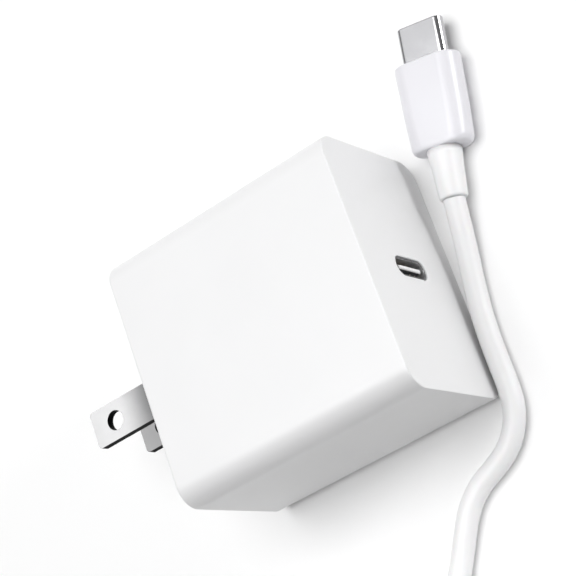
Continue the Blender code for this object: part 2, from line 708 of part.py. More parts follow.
def make_cable():
    """The free cable: an open run, the coil's outer shape, and the tail to the second plug."""
    route = smooth_path([Vector(point) * MM for point in ROUTE], 1.0 * MM)
    centre = Vector((*COIL_CENTRE, CABLE_RADIUS))
    clear = COIL_OUTER + CABLE_RADIUS + CABLE_GAP
    free = [point for point in route if (point - centre).length > clear]
    start = Vector(PLUG_A_END)
    free = [point for point in free if (point - start).length > CABLE_GAP]
    lead_in = start + (free[0] - start).normalized() * CABLE_GAP
    tube("cable_run", even_points([lead_in, *free], 2.2 * CABLE_RADIUS), CABLE_RADIUS, PALE, 3)
    coil = turned_ring(
        "cable_coil", COIL_INNER, COIL_OUTER, 0.0, COIL_HEIGHT, (*COIL_CENTRE, 0.0), PALE, 36,
    )
    middle = tie_middle()
    notch = add_object(
        "tie_notch",
        bar((COIL_OUTER - COIL_INNER + 8 * MM, TIE_WIDTH + 2 * CABLE_GAP,
             2 * (TIE_LOW + TIE_THICKNESS + CABLE_GAP))),
        middle,
    )
    notch.rotation_euler = (0.0, 0.0, TIE_ANGLE)
    boolean(coil, notch)
    tail = smooth_path([Vector(point) * MM for point in TAIL], 2.0 * CABLE_RADIUS)
    tube("cable_tail", tail, CABLE_RADIUS, PALE, 3)
    make_tie(middle)


def tie_middle():
    way = Vector((math.cos(TIE_ANGLE), math.sin(TIE_ANGLE), 0.0))
    return Vector((*COIL_CENTRE, 0.0)) + way * (COIL_INNER + COIL_OUTER) / 2


def make_tie(middle):
    """A strap round the bundle of turns at one place, standing just clear of the surface."""
    depth = COIL_OUTER - COIL_INNER + 2 * (TIE_SIDE + TIE_THICKNESS)
    height = TIE_HIGH - TIE_LOW
    place = middle + Vector((0.0, 0.0, (TIE_HIGH + TIE_LOW) / 2))
    tie = add_object("cable_tie", bar((depth, TIE_WIDTH, height), TIE_CORNER, 1, 4), place,
                     STRAP_GREY, True)
    inside = add_object(
        "tie_inside",
        bar((depth - 2 * TIE_THICKNESS, TIE_WIDTH + 2 * MM, height - 2 * TIE_THICKNESS),
            TIE_CORNER - TIE_THICKNESS, 1, 4),
        place,
    )
    boolean(tie, inside)
    tie.rotation_euler = (0.0, 0.0, TIE_ANGLE)
    inside.rotation_euler = (0.0, 0.0, TIE_ANGLE)


clear_scene()
kept_parts = new_collection("usb_c_power_adapter")
cutting_tools = new_collection("cutting_tools")

make_housing()
make_rear_cover()
make_prongs()
make_contacts()
make_port()
make_boards()
make_filter_parts()
make_transformer()
make_output_parts()
make_plug("plug_a", PLUG_A_END, PLUG_A_HEADING)
make_plug("plug_b", PLUG_B_END, PLUG_B_HEADING)
make_cable()
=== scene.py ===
"""Looks of a USB-C wall power adapter with folding blades and its coiled cable.

Laid out as an add-on: the settings hold sizes and colours, each operator makes one piece or
a group of like pieces, and main() runs them in order round the fixed frame.
"""

import json
import math

import bmesh
import bpy
from bpy.props import FloatProperty, FloatVectorProperty, IntProperty, PointerProperty
from mathutils import Matrix, Vector


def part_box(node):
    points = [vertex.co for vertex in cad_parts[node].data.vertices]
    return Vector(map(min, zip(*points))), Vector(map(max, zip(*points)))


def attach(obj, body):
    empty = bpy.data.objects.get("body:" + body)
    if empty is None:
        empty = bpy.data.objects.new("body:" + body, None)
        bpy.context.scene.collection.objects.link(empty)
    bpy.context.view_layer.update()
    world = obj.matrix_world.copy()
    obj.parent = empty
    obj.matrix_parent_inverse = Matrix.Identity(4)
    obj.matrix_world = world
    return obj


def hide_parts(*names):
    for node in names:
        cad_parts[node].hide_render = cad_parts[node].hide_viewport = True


bl_info = {
    "name": "USB-C Power Adapter",
    "version": (1, 0, 0),
    "blender": (4, 5, 0),
    "location": "View3D > Sidebar > Adapter",
    "description": "Builds a wall power adapter with folding blades and a coiled cable",
    "category": "Add Mesh",
}

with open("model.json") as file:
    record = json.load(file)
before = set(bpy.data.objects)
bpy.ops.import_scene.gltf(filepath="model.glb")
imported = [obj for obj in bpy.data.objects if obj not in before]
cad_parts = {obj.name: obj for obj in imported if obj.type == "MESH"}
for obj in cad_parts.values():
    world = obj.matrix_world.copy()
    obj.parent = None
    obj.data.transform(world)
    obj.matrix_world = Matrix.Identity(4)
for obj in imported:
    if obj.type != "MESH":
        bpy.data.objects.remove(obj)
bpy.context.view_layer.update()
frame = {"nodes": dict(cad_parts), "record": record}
MM = 0.001

# Boxes of the fixed frame that the pieces are built in
CASE_LOW, CASE_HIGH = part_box("housing_shell")
PORT_LOW, PORT_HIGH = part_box("port_shell")
TONGUE_LOW, TONGUE_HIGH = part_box("port_tongue")
COIL_LOW, COIL_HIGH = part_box("cable_coil")
MIDDLE_Z = (CASE_LOW.z + CASE_HIGH.z) / 2

# The free cable's route over the surface, from the first plug to the coil, in metres
CABLE_ROUTE = [
    (0.02815, 0.011, 0.00305),
    (0.02735, 0.0071, 0.0026),
    (0.0264, 0.0026, 0.00205),
    (0.0254, -0.0024, 0.0018),
    (0.0246, -0.008, 0.0018),
    (0.02425, -0.0138, 0.0018),
    (0.02415, -0.0203, 0.0018),
    (0.02361, -0.0237, 0.0018),
    (0.02205, -0.02677, 0.0018),
    (0.01962, -0.0292, 0.0018),
    (0.01655, -0.03076, 0.0018),
    (0.0136, -0.03212, 0.0018),
    (0.01103, -0.03412, 0.0018),
    (0.009, -0.03666, 0.0018),
    (0.00582, -0.04175, 0.0018),
    (0.00313, -0.04552, 0.0018),
    (0.0, -0.04894, 0.0018),
    (-0.00353, -0.05196, 0.0018),
    (-0.0074, -0.05452, 0.0018),
]
# The tail's route from the coil's top turns to the second plug
TAIL_ROUTE = [
    (0.00127, -0.05144, 0.0165),
    (-0.00293, -0.05294, 0.0166),
    (-0.00673, -0.05644, 0.01697),
    (-0.00853, -0.06024, 0.0175),
    (-0.0089, -0.06297, 0.0177),
]
PLUG_A = (Vector((0.02815, 0.011, 0.00305)), math.radians(78.5))
PLUG_B = (Vector((-0.0089, -0.06337, 0.0177)), math.radians(270.0))
TIE_ANGLE = math.radians(330.0)


class AdapterSettings(bpy.types.PropertyGroup):
    """Sizes and colours of the case, the port and the blades."""

    case_fillet: FloatProperty(
        name="Case fillet", description="Radius of the four long edges",
        default=0.0038, min=0.001, unit="LENGTH",
    )
    case_wall: FloatProperty(
        name="Case wall", description="Thickness of the moulded wall",
        default=0.002, min=0.001, unit="LENGTH",
    )
    case_edge: FloatProperty(
        name="Port face edge", description="Small easing of the edge round the port face",
        default=0.00016, min=0.0, unit="LENGTH",
    )
    case_colour: FloatVectorProperty(
        name="Case colour", description="White of the moulded case",
        default=(0.795, 0.795, 0.8), size=3, min=0.0, max=1.0, subtype="COLOR",
    )
    case_gloss: FloatProperty(
        name="Case roughness", description="Roughness of the case's satin finish",
        default=0.3, min=0.0, max=1.0,
    )
    blade_colour: FloatVectorProperty(
        name="Blade colour", description="Nickel plate of the mains blades",
        default=(0.74, 0.74, 0.745), size=3, min=0.0, max=1.0, subtype="COLOR",
    )
    blade_hole: FloatProperty(
        name="Blade hole", description="Radius of the round hole in each blade",
        default=0.00165, min=0.0005, unit="LENGTH",
    )
    port_wall: FloatProperty(
        name="Port wall", description="Sheet thickness of the port's shell",
        default=0.00025, min=0.0001, unit="LENGTH",
    )
    port_colour: FloatVectorProperty(
        name="Port colour", description="Plated steel of the port's shell",
        default=(0.72, 0.72, 0.73), size=3, min=0.0, max=1.0, subtype="COLOR",
    )


class CableSettings(bpy.types.PropertyGroup):
    """Sizes and colours of the free cable, its coil and its plugs."""

    radius: FloatProperty(
        name="Cable radius", description="Half the cable's thickness",
        default=0.0018, min=0.001, unit="LENGTH",
    )
    columns: IntProperty(
        name="Turns side by side", description="Turns in each layer of the coil",
        default=3, min=1, max=6,
    )
    layers: IntProperty(
        name="Layers", description="Layers of turns in the coil", default=4, min=1, max=8,
    )
    cable_colour: FloatVectorProperty(
        name="Cable colour", description="White of the cable's sleeve",
        default=(0.84, 0.84, 0.845), size=3, min=0.0, max=1.0, subtype="COLOR",
    )
    plug_colour: FloatVectorProperty(
        name="Plug colour", description="Polished steel of the plug's shell",
        default=(0.52, 0.52, 0.535), size=3, min=0.0, max=1.0, subtype="COLOR",
    )
    plug_roughness: FloatProperty(
        name="Plug roughness", description="Roughness of the plug's shell",
        default=0.14, min=0.0, max=1.0,
    )


class StageSettings(bpy.types.PropertyGroup):
    """Floor, light and camera."""

    floor_colour: FloatVectorProperty(
        name="Floor colour", description="Plain pale floor",
        default=(0.93, 0.93, 0.93), size=3, min=0.0, max=1.0, subtype="COLOR",
    )
    near_wall: FloatProperty(
        name="Near wall", description="Strength of the light from the studio's near side",
        default=0.06, min=0.0,
    )
    far_wall: FloatProperty(
        name="Far wall", description="Strength of the light from the studio's far side",
        default=0.4, min=0.0,
    )
    key_power: FloatProperty(
        name="Key light", description="Power of the large overhead light",
        default=7.9, min=0.0, unit="POWER",
    )
    lens: FloatProperty(
        name="Lens", description="Focal length of the camera",
        default=108.9, min=10.0, unit="CAMERA",
    )


# ---------------------------------------------------------------- shapes

# How far loops in one plane are set apart before they are bridged, in millimetres
NUDGE = 0.002
# Points closer than this are one point
MERGE = 0.001 * MM
# Share of a slot's thickness that makes its ends nearly half circles
NEARLY_ROUND = 0.497
# Faces meeting at less than the first angle are one face, at more than the second an edge
FLAT_ANGLE = math.radians(1.5)
EDGE_ANGLE = math.radians(40.0)
# How strongly large faces pull the shading of their edges
FLAT_WEIGHT = 90
# Longest step of the line that a cord is drawn along
CORD_STEP = 2.0 * MM


def rounded_loop(bm, wide, high, radius, segments, place):
    """A rounded rectangle across the X axis at a place, as a loop of edges with no face."""
    made = bmesh.ops.create_grid(bm, x_segments=1, y_segments=1, size=0.5)
    corners = made["verts"]
    stand = Matrix(((0, 0, 1, 0), (1, 0, 0, 0), (0, 1, 0, 0), (0, 0, 0, 1)))
    bmesh.ops.scale(bm, vec=(wide, high, 1.0), verts=corners)
    bmesh.ops.transform(bm, matrix=Matrix.Translation(place) @ stand, verts=corners)
    eased = bmesh.ops.bevel(
        bm, geom=corners, offset=radius, offset_type="OFFSET", segments=segments,
        profile=0.5, affect="VERTICES", material=-1,
    )
    face = next(iter(eased["verts"][0].link_faces))
    rim = list(face.edges)
    bmesh.ops.delete(bm, geom=[face], context="FACES_ONLY")
    return rim


def grown(size, border):
    """A rounded rectangle's width, height and radius with a border added all round."""
    wide, high, radius = size
    return wide + 2 * border, high + 2 * border, radius + border


def loft(bm, loops, closed=False):
    """Skins a row of loops that have the same number of edges.

    They are bridged at a thousand times their size, because bridges between tiny loops twist.
    """
    pairs = list(zip(loops, loops[1:]))
    if closed:
        pairs.append((loops[-1], loops[0]))
    bmesh.ops.scale(bm, vec=(1 / MM, 1 / MM, 1 / MM), verts=bm.verts)
    for first, second in pairs:
        ring = {vert for edge in second for vert in edge.verts}
        if abs(first[0].verts[0].co.x - second[0].verts[0].co.x) < NUDGE:
            # A bridge between loops in one plane can turn over, so one moves a hair
            bmesh.ops.translate(bm, vec=(-NUDGE, 0.0, 0.0), verts=list(ring))
        bmesh.ops.bridge_loops(bm, edges=first + second)
    bmesh.ops.recalc_face_normals(bm, faces=bm.faces)
    bmesh.ops.scale(bm, vec=(MM, MM, MM), verts=bm.verts)


def ease(bm, edges, width, segments=3):
    """Rounds edges off by a width."""
    bmesh.ops.bevel(
        bm, geom=edges, offset=width, offset_type="OFFSET", segments=segments,
        profile=0.5, affect="EDGES", clamp_overlap=True, material=-1,
    )


def cap(bm, loop):
    """Closes a loop and turns every face outwards."""
    bmesh.ops.holes_fill(bm, edges=loop, sides=0)
    bmesh.ops.recalc_face_normals(bm, faces=bm.faces)


def box_shape(bm, low, high):
    """A box between two corners."""
    made = bmesh.ops.create_cube(bm, size=1.0)["verts"]
    bmesh.ops.scale(bm, vec=Vector(high) - Vector(low), verts=made)
    bmesh.ops.translate(bm, vec=(Vector(low) + Vector(high)) / 2, verts=made)


def turned_shape(bm, profile, steps):
    """A line of (along, radius) points spun about the X axis."""
    verts = [bm.verts.new((along, 0.0, radius)) for along, radius in profile]
    edges = [bm.edges.new(pair) for pair in zip(verts, verts[1:])]
    bmesh.ops.spin(
        bm, geom=verts + edges, cent=(0, 0, 0), axis=(1, 0, 0), angle=math.tau,
        steps=steps, use_merge=True,
    )
    bmesh.ops.remove_doubles(bm, verts=bm.verts, dist=MERGE)
    bmesh.ops.recalc_face_normals(bm, faces=bm.faces)


def finish_piece(bm, name, body, material, nodes=(), place=None, flat_area=None):
    """Turns a bmesh into a smooth-shaded piece that rides on a body.

    Faces larger than flat_area keep their own flat shading.
    """
    if place is not None:
        bmesh.ops.transform(bm, matrix=place, verts=bm.verts)
    mesh = bpy.data.meshes.new(name)
    for face in bm.faces:
        face.smooth = flat_area is None or face.calc_area() < flat_area
    bm.to_mesh(mesh)
    bm.free()
    mesh.materials.append(material)
    piece = bpy.data.objects.new(name, mesh)
    bpy.context.scene.collection.objects.link(piece)
    if flat_area is None:
        weighted = piece.modifiers.new("Flat faces stay flat", "WEIGHTED_NORMAL")
        weighted.keep_sharp = True
        weighted.weight = FLAT_WEIGHT
    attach(piece, body)
    if nodes:
        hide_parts(*nodes)
    return piece


def eased_copy(node, name, body, material, width, depth):
    """A copy of a fixed piece with its flat faces joined and its outer sharp edges eased.

    Edges deeper than depth, measured from the prong end, stay as they are.
    """
    bm = bmesh.new()
    bm.from_mesh(frame["nodes"][node].data)
    bmesh.ops.remove_doubles(bm, verts=bm.verts, dist=MERGE)
    bmesh.ops.dissolve_limit(bm, angle_limit=FLAT_ANGLE, verts=bm.verts, edges=bm.edges)
    sharp = [
        edge for edge in bm.edges
        if edge.calc_face_angle() > EDGE_ANGLE
        and max(vert.co.x for vert in edge.verts) < CASE_LOW.x + depth
    ]
    ease(bm, sharp, width, 2)
    bmesh.ops.remove_doubles(bm, verts=bm.verts, dist=MERGE)
    return finish_piece(bm, name, body, material, [node])


def plug_place(plug):
    """Where a plug lies: its cable's end at the origin, turned to its heading."""
    end, heading = plug
    return Matrix.Translation(end) @ Matrix.Rotation(heading, 4, "Z")


def smooth_line(points, spacing):
    """Points about a spacing apart on a smooth curve through the given ones."""
    knots = [Vector(point) for point in points]
    knots = [2 * knots[0] - knots[1], *knots, 2 * knots[-1] - knots[-2]]
    fine = []
    for i in range(1, len(knots) - 2):
        before, start, end, after = knots[i - 1:i + 3]
        steps = max(1, round((end - start).length / spacing))
        for step in range(steps):
            t = step / steps
            fine.append(0.5 * (
                2 * start + (end - before) * t
                + (2 * before - 5 * start + 4 * end - after) * t ** 2
                + (3 * start - 3 * end + after - before) * t ** 3
            ))
    fine.append(knots[-2])
    return fine


# ---------------------------------------------------------------- materials

# The stretch of a noise that spread maps to its values, and tint to its colours
NOISE_RANGE = (0.3, 0.7)
TINT_RANGE = (0.35, 0.65)
PLASTIC_IOR = 1.5


def new_material(name, colour, roughness, metallic=0.0):
    """A Principled material and its node tree, with what is the same all over set on it."""
    material = bpy.data.materials.new(name)
    material.use_nodes = True
    tree = material.node_tree
    shader = tree.nodes["Principled BSDF"]
    shader.inputs["Base Color"].default_value = (*colour, 1.0)
    shader.inputs["Roughness"].default_value = roughness
    shader.inputs["Metallic"].default_value = metallic
    return material, tree, shader


def object_noise(tree, scale, detail=3.0, stretch=(1.0, 1.0, 1.0)):
    """Noise on Object coordinates; scale counts features in a metre."""
    coords = tree.nodes.new("ShaderNodeTexCoord")
    mapping = tree.nodes.new("ShaderNodeMapping")
    mapping.inputs["Scale"].default_value = stretch
    noise = tree.nodes.new("ShaderNodeTexNoise")
    noise.inputs["Scale"].default_value = scale
    noise.inputs["Detail"].default_value = detail
    tree.links.new(coords.outputs["Object"], mapping.inputs["Vector"])
    tree.links.new(mapping.outputs["Vector"], noise.inputs["Vector"])
    return noise.outputs["Fac"]


def spread(tree, value, low, high):
    """Maps the middle of a noise to a range of values."""
    node = tree.nodes.new("ShaderNodeMapRange")
    node.inputs["From Min"].default_value = NOISE_RANGE[0]
    node.inputs["From Max"].default_value = NOISE_RANGE[1]
    node.inputs["To Min"].default_value = low
    node.inputs["To Max"].default_value = high
    tree.links.new(value, node.inputs["Value"])
    return node.outputs["Result"]


def tint(tree, value, first, second):
    """Mixes two colours by a value."""
    ramp = tree.nodes.new("ShaderNodeValToRGB")
    for stop, position, colour in zip(ramp.color_ramp.elements, TINT_RANGE, (first, second)):
        stop.position = position
        stop.color = (*colour, 1.0)
    tree.links.new(value, ramp.inputs["Fac"])
    return ramp.outputs["Color"]


def add_bump(tree, shader, height, depth, strength):
    """Raises and sinks the surface by a height's values, depth metres at the most."""
    bump = tree.nodes.new("ShaderNodeBump")
    bump.inputs["Distance"].default_value = depth
    bump.inputs["Strength"].default_value = strength
    tree.links.new(height, bump.inputs["Height"])
    tree.links.new(bump.outputs["Normal"], shader.inputs["Normal"])


def shade(colour, share):
    """A colour darkened to a share of itself."""
    return tuple(channel * share for channel in colour)


def moulded_plastic(name, colour, roughness, grain=5200.0, depth=0.004 * MM):
    """Moulded plastic: faint mottling, a fine spark-eroded grain and uneven gloss."""
    material, tree, shader = new_material(name, colour, roughness)
    cloud = object_noise(tree, 70.0)
    tree.links.new(tint(tree, cloud, shade(colour, 0.985), colour), shader.inputs["Base Color"])
    wear_and_painted_shade = object_noise(tree, 420.0, 4.0)
    tree.links.new(
        spread(tree, wear_and_painted_shade, roughness * 0.93, roughness * 1.08), shader.inputs["Roughness"],
    )
    add_bump(tree, shader, object_noise(tree, grain, 2.0), depth, 0.35)
    shader.inputs["IOR"].default_value = PLASTIC_IOR
    return material


def plated_metal(name, colour, roughness, streak=(0.06, 1.0, 1.0), depth=0.0015 * MM):
    """Plated metal with fine rolling streaks along one axis and a few cloudy spots."""
    material, tree, shader = new_material(name, colour, roughness, 1.0)
    streaks = object_noise(tree, 5200.0, 4.0, streak)
    clouds = object_noise(tree, 260.0, 3.0)
    tree.links.new(
        tint(tree, clouds, shade(colour, 0.94), colour), shader.inputs["Base Color"],
    )
    tree.links.new(
        spread(tree, streaks, roughness * 0.88, roughness * 1.14), shader.inputs["Roughness"],
    )
    add_bump(tree, shader, streaks, depth, 0.5)
    return material


# ---------------------------------------------------------------- pieces


def report_done(operator, text):
    operator.report({"INFO"}, text)
    return {"FINISHED"}


CAMERA_PLACE = (0.1245, -0.0882, 0.2447)
CAMERA_LOOK = (-0.445, 0.344, -0.827)
CAMERA_UP = (0.455, 0.882, 0.121)
CAMERA_SENSOR = 36.0
CAMERA_NEAR = 0.01
FLOOR_SIZE = 3.0
FLOOR_GAP = 0.02 * MM
# Name, place, diameter, share of the key power
LIGHTS = [
    ("overhead_light", (-0.04, 0.0, 0.95), 0.9, 1.05),
    ("right_light", (0.93, 0.15, 0.17), 0.3, 0.46),
    ("back_light", (-0.48, 0.37, 0.89), 0.9, 0.215),
]
# Where the near wall's light ends and the far wall's begins, along Y of the direction
NEAR_WALL_END = -0.1
FAR_WALL_START = 0.6


class ADAPTER_OT_stage(bpy.types.Operator):
    """Add the pale floor, the soft studio light and the camera"""

    bl_idname = "adapter.stage"
    bl_label = "Stage"

    def execute(self, context):
        settings = context.scene.adapter_stage
        self.make_floor(context, settings)
        self.make_light(context, settings)
        self.make_camera(context, settings)
        context.scene.view_settings.view_transform = "Standard"
        return report_done(self, "Stage made")

    def make_floor(self, context, settings):
        bm = bmesh.new()
        bmesh.ops.create_grid(bm, x_segments=1, y_segments=1, size=FLOOR_SIZE)
        bmesh.ops.translate(bm, vec=(0.0, 0.0, CASE_LOW.z - FLOOR_GAP), verts=bm.verts)
        mesh = bpy.data.meshes.new("floor")
        bm.to_mesh(mesh)
        bm.free()
        floor = bpy.data.objects.new("floor", mesh)
        context.scene.collection.objects.link(floor)
        material, tree, shader = new_material("floor_paper", settings.floor_colour, 0.7)
        grain = object_noise(tree, 900.0, 4.0)
        tree.links.new(spread(tree, grain, 0.66, 0.74), shader.inputs["Roughness"])
        shader.inputs["Specular IOR Level"].default_value = 0.2
        mesh.materials.append(material)

    def make_light(self, context, settings):
        world = bpy.data.worlds.new("even_light")
        world.use_nodes = True
        tree = world.node_tree
        background = tree.nodes["Background"]
        background.inputs["Color"].default_value = (1.0, 1.0, 1.0, 1.0)
        # The far wall of the studio is lighter than the near one
        coords = tree.nodes.new("ShaderNodeTexCoord")
        axes = tree.nodes.new("ShaderNodeSeparateXYZ")
        wall = tree.nodes.new("ShaderNodeMapRange")
        wall.inputs["From Min"].default_value = NEAR_WALL_END
        wall.inputs["From Max"].default_value = FAR_WALL_START
        wall.inputs["To Min"].default_value = settings.near_wall
        wall.inputs["To Max"].default_value = settings.far_wall
        tree.links.new(coords.outputs["Generated"], axes.inputs["Vector"])
        tree.links.new(axes.outputs["Y"], wall.inputs["Value"])
        tree.links.new(wall.outputs["Result"], background.inputs["Strength"])
        context.scene.world = world
        for name, place, size, power in LIGHTS:
            light = bpy.data.lights.new(name, "AREA")
            light.shape = "DISK"
            light.size = size
            light.energy = power * settings.key_power
            lamp = bpy.data.objects.new(name, light)
            lamp.location = place
            lamp.rotation_euler = (-Vector(place)).to_track_quat("-Z", "Y").to_euler()
            context.scene.collection.objects.link(lamp)

    def make_camera(self, context, settings):
        camera = bpy.data.cameras.new("camera")
        camera.lens = settings.lens
        camera.sensor_width = CAMERA_SENSOR
        camera.clip_start = CAMERA_NEAR
        holder = bpy.data.objects.new("camera", camera)
        look = Vector(CAMERA_LOOK).normalized()
        right = look.cross(Vector(CAMERA_UP)).normalized()
        up = right.cross(look)
        turn = Matrix((right, up, -look)).transposed()
        holder.matrix_world = Matrix.Translation(CAMERA_PLACE) @ turn.to_4x4()
        context.scene.collection.objects.link(holder)
        context.scene.camera = holder


# The part of a turn in which the cable changes seats, and how far it bulges there
COIL_CHANGE = math.radians(60.0)
COIL_CHANGE_BULGE = 1.0 * MM
# The turns ride up over the strap's lower side
COIL_LIFT = 1.8 * MM
COIL_LIFT_SPREAD = math.radians(20.0)
# The climb from the top turns to the tail
COIL_CLIMB_BEFORE = math.radians(24.0)
COIL_CLIMB_AFTER = math.radians(36.0)
COIL_CLIMB = 3.9 * MM
COIL_STEP = math.radians(9.0)


class ADAPTER_OT_cable(bpy.types.Operator):
    """Add the free cable: the open run, the coil and the tail to the second plug"""

    bl_idname = "adapter.cable"
    bl_label = "Cable"

    def execute(self, context):
        settings = context.scene.adapter_cable
        points = smooth_line(CABLE_ROUTE, CORD_STEP)[:-1]
        points += coil_line(settings)
        points += smooth_line(TAIL_ROUTE, CORD_STEP)
        curve = bpy.data.curves.new("cable", "CURVE")
        curve.dimensions = "3D"
        curve.bevel_depth = settings.radius
        curve.bevel_resolution = 5
        curve.use_fill_caps = True
        spline = curve.splines.new("POLY")
        spline.points.add(len(points) - 1)
        for point, place in zip(spline.points, points):
            point.co = (*place, 1.0)
        spline.use_smooth = True
        curve.materials.append(cable_sleeve(settings.cable_colour))
        cable = bpy.data.objects.new("cable", curve)
        context.scene.collection.objects.link(cable)
        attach(cable, "adapter")
        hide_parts("cable_run", "cable_coil", "cable_tail")
        plug_pieces()
        return report_done(self, "Cable made")


def coil_line(settings):
    """The turns of the coil, wound layer on layer, then the climb to the tail."""
    thick = 2 * settings.radius
    centre = (COIL_LOW + COIL_HIGH) / 2
    outer = (COIL_HIGH.y - COIL_LOW.y) / 2 - settings.radius
    seats = []
    for layer in range(settings.layers):
        columns = range(settings.columns)
        for column in columns if layer % 2 == 0 else reversed(columns):
            seats.append((outer - column * thick, settings.radius + layer * thick))
    entry = Vector(CABLE_ROUTE[-1]) - centre
    start = math.atan2(entry.y, entry.x)
    whole = math.tau * len(seats) - COIL_CHANGE
    points = []
    for i in range(round(whole / COIL_STEP) + 1):
        turned = i * COIL_STEP
        radius, height = coil_seat(seats, turned)
        angle = start + turned
        near_tie = math.remainder(angle - TIE_ANGLE, math.tau)
        height += COIL_LIFT * math.exp(-(near_tie / COIL_LIFT_SPREAD) ** 2)
        climb = (turned - whole + COIL_CLIMB_BEFORE) / (COIL_CLIMB_BEFORE + COIL_CLIMB_AFTER)
        height += climb_height(climb)
        points.append(Vector((
            centre.x + radius * math.cos(angle), centre.y + radius * math.sin(angle), height,
        )))
    top = seats[-1][1]
    for i in range(1, int(COIL_CLIMB_AFTER / COIL_STEP) + 1):
        angle = start + whole + i * COIL_STEP
        share = (i * COIL_STEP + COIL_CLIMB_BEFORE) / (COIL_CLIMB_BEFORE + COIL_CLIMB_AFTER)
        points.append(Vector((
            centre.x + seats[-1][0] * math.cos(angle),
            centre.y + seats[-1][0] * math.sin(angle),
            top + climb_height(share),
        )))
    return points


def climb_height(share):
    """How far the cable has risen after a share of its climb to the tail."""
    return COIL_CLIMB * ease_in_out(share)


def ease_in_out(share):
    """A share from 0 to 1 that starts and ends gently."""
    share = min(1.0, max(0.0, share))
    return share * share * (3.0 - 2.0 * share)


def coil_seat(seats, turned):
    """Radius and height of the cable after a turn of so much, changing seats once a turn."""
    index = min(int(turned / math.tau), len(seats) - 1)
    radius, height = seats[index]
    past = turned - index * math.tau - (math.tau - COIL_CHANGE)
    if past <= 0.0 or index == len(seats) - 1:
        return radius, height
    share = past / COIL_CHANGE
    next_radius, next_height = seats[index + 1]
    moved = ease_in_out(share)
    bulge = 0.0
    if next_height > height:
        outward = 1.0 if radius > seats[1][0] else -1.0
        bulge = outward * COIL_CHANGE_BULGE * math.sin(math.pi * share)
    return (
        radius + (next_radius - radius) * moved + bulge,
        height + (next_height - height) * moved,
    )


def plug_pieces():
    """The names of everything that lies on the cable."""
    names = ["cable_strap"]
    for plug in ("plug_a", "plug_b"):
        names += [plug + "_metal", plug + "_contact_block", plug + "_body", plug + "_relief"]
    return names


def cable_sleeve(colour):
    """Soft white elastomer: a silky surface with the faintest drag marks."""
    material, tree, shader = new_material("cable_sleeve", colour, 0.42)
    clouds = object_noise(tree, 160.0, 3.0)
    tree.links.new(tint(tree, clouds, shade(colour, 0.98), colour), shader.inputs["Base Color"])
    fine = object_noise(tree, 2600.0, 3.0)
    tree.links.new(spread(tree, fine, 0.38, 0.47), shader.inputs["Roughness"])
    add_bump(tree, shader, fine, 0.006 * MM, 0.3)
    shader.inputs["Subsurface Weight"].default_value = 0.06
    shader.inputs["Subsurface Scale"].default_value = 0.8 * MM
    return material


# Width of the flat strip on both sides of an edge that is eased
FACE_BORDER = 0.8 * MM
SLOT_CLEARANCE = 0.3 * MM
SLOT_EDGE = 0.14 * MM
REAR_EDGE = 0.35 * MM
REAR_INNER_EDGE = 0.2 * MM
CASE_SEGMENTS = 16


class ADAPTER_OT_case(bpy.types.Operator):
    """Add the moulded case with its port slot"""

    bl_idname = "adapter.case"
    bl_label = "Case"

    def execute(self, context):
        settings = context.scene.adapter
        size = CASE_HIGH - CASE_LOW
        wall = settings.case_wall
        middle = Vector((0.0, 0.0, MIDDLE_Z))
        slot_wide = PORT_HIGH.z - PORT_LOW.z + SLOT_CLEARANCE
        slot_thin = PORT_HIGH.y - PORT_LOW.y + SLOT_CLEARANCE
        front = Vector((CASE_HIGH.x, 0, 0)) + middle
        rear = Vector((CASE_LOW.x, 0, 0)) + middle
        inside = Vector((-wall, 0, 0))
        inner = (size.y - 2 * wall, size.z - 2 * wall, settings.case_fillet - wall)
        outer = (size.y, size.z, settings.case_fillet)
        slot = (slot_thin, slot_wide, NEARLY_ROUND * slot_thin)
        border = Vector((FACE_BORDER, 0, 0))
        bm = bmesh.new()
        loops = [
            rounded_loop(bm, *size, CASE_SEGMENTS, place)
            for size, place in (
                (slot, front + inside), (slot, front), (grown(slot, FACE_BORDER), front),
                (grown(outer, -FACE_BORDER), front), (outer, front), (outer, front - border),
                (outer, rear + border), (outer, rear), (inner, rear), (inner, front + inside),
            )
        ]
        loft(bm, loops, closed=True)
        ease(bm, loops[1], SLOT_EDGE)
        ease(bm, loops[4], settings.case_edge)
        ease(bm, loops[7], REAR_EDGE, 4)
        ease(bm, loops[8], REAR_INNER_EDGE)
        plastic = case_plastic(settings)
        finish_piece(bm, "case_shell", "adapter", plastic, ["housing_shell"])
        return report_done(self, "Case made")


def case_plastic(settings):
    """The satin white that the case, its cover and the rotor share."""
    found = bpy.data.materials.get("case_plastic")
    if found:
        return found
    return moulded_plastic("case_plastic", settings.case_colour, settings.case_gloss)


COVER_EDGE = 0.12 * MM
# How deep the eased edges of the cover and of the rotor go, from the prong end
COVER_DEPTH = 1.5 * MM
ROTOR_DEPTH = 0.5 * MM


class ADAPTER_OT_cover(bpy.types.Operator):
    """Add the cover at the prong end and the rotor that turns in it"""

    bl_idname = "adapter.cover"
    bl_label = "Cover and rotor"

    def execute(self, context):
        plastic = case_plastic(context.scene.adapter)
        eased_copy(
            "rear_cover", "prong_end_cover", "adapter", plastic, COVER_EDGE,
            COVER_DEPTH,
        )
        eased_copy(
            "prong_rotor", "blade_rotor", "prongs", plastic, COVER_EDGE,
            ROTOR_DEPTH,
        )
        return report_done(self, "Cover and rotor made")


BLADE_CORNER = 0.6 * MM
BLADE_CORNER_SEGMENTS = 6
BLADE_EDGE = 0.22 * MM
BLADE_EDGE_ANGLE = math.radians(60.0)
# The hole's middle, from the prong end
BLADE_HOLE_BACK = 12.16 * MM
BLADE_HOLE_SEGMENTS = 48
BLADE_FLAT_AREA = 0.12 * MM * MM
# Painted dark reflection on a blade's tip and one of its narrow sides, in place of the dark
# surround the metal would mirror there
PAINTED_DARK_EDGE = (0.005, 0.005, 0.005)
